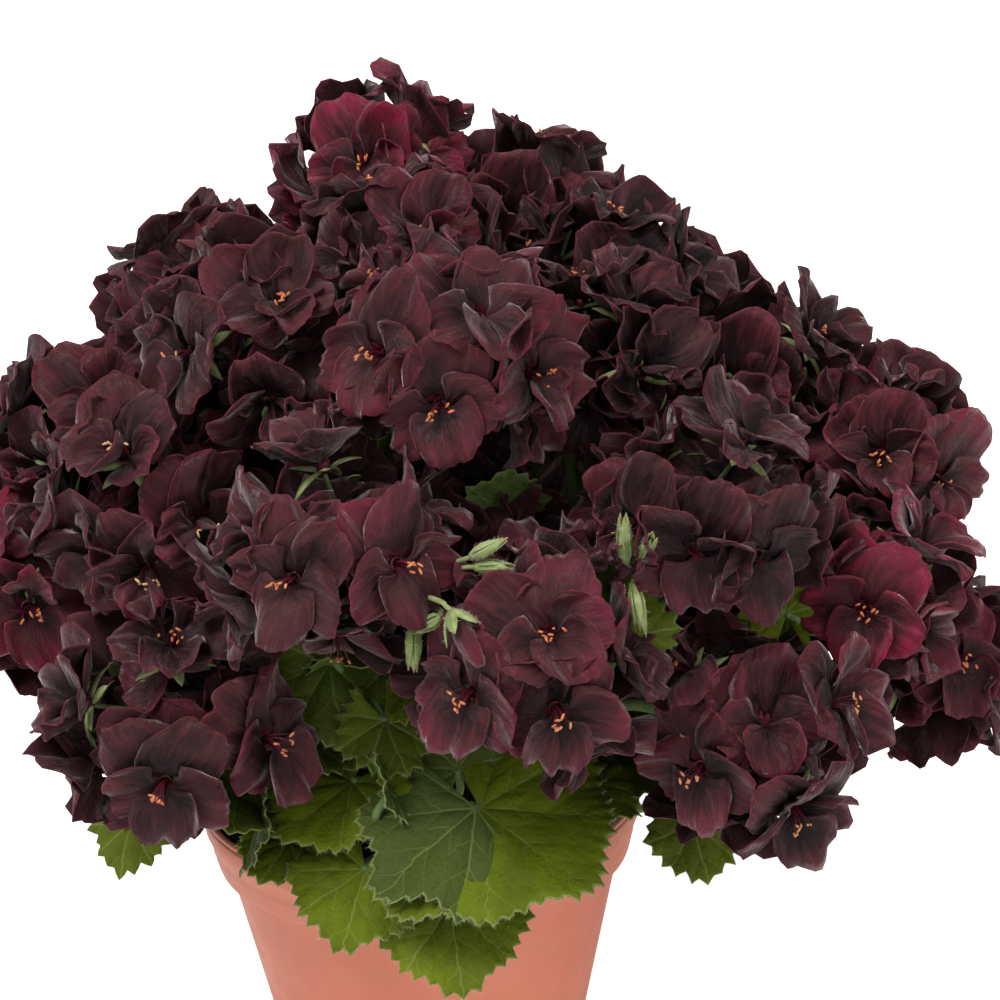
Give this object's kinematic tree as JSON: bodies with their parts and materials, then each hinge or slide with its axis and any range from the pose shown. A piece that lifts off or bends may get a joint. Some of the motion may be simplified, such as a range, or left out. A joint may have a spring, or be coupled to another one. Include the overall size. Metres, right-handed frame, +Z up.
{
  "type": "potted regal pelargonium",
  "caption": "Bushy flowering pot plant: a round plastic pot of soil, leafy shoots with toothed leaves, and a dome of dark five-petalled flowers in rounded heads.",
  "frame": {"origin": "centre of the pot's flat foot, on the surface it stands on", "axes": "+Z up out of the pot, -Y towards the front of the plant, +X to the right seen from the front"},
  "size_m": [0.3413, 0.3127, 0.342],
  "materials": {
    "pot_plastic": "satin",
    "potting_soil": "matte",
    "foliage": "matte",
    "petal": "matte",
    "stamen": "matte",
    "bud": "matte"
  },
  "bodies": {
    "root": {"pot": "pot_plastic", "soil": "potting_soil", "shoot_centre": "foliage", "shoot_front": "foliage", "shoot_front_left": "foliage", "shoot_left": "foliage", "shoot_front_right": "foliage", "shoot_right": "foliage", "shoot_back_left": "foliage", "shoot_back": "foliage", "shoot_back_right": "foliage", "head_crown_top": "petal", "head_crown_back": "petal", "head_crest_right": "petal", "head_crest": "petal", "head_brow": "petal", "head_shoulder_left": "petal", "head_temple_left": "petal", "head_temple_right": "petal", "head_shoulder_right": "petal", "head_flank_left": "petal", "head_flank_right": "petal", "head_cheek_left": "petal", "head_cheek_right": "petal", "head_middle": "petal", "head_side_left": "petal", "head_side_right": "petal", "head_skirt_left": "petal", "head_chin": "petal", "head_skirt_right": "petal", "head_hem_right": "petal", "head_back_top": "petal", "head_back_left_high": "petal", "head_back_right_high": "petal", "head_back_left": "petal", "head_back_middle": "petal", "head_back_right": "petal", "head_back_low_left": "petal", "head_back_low_right": "petal"}
  },
  "joints": []
}
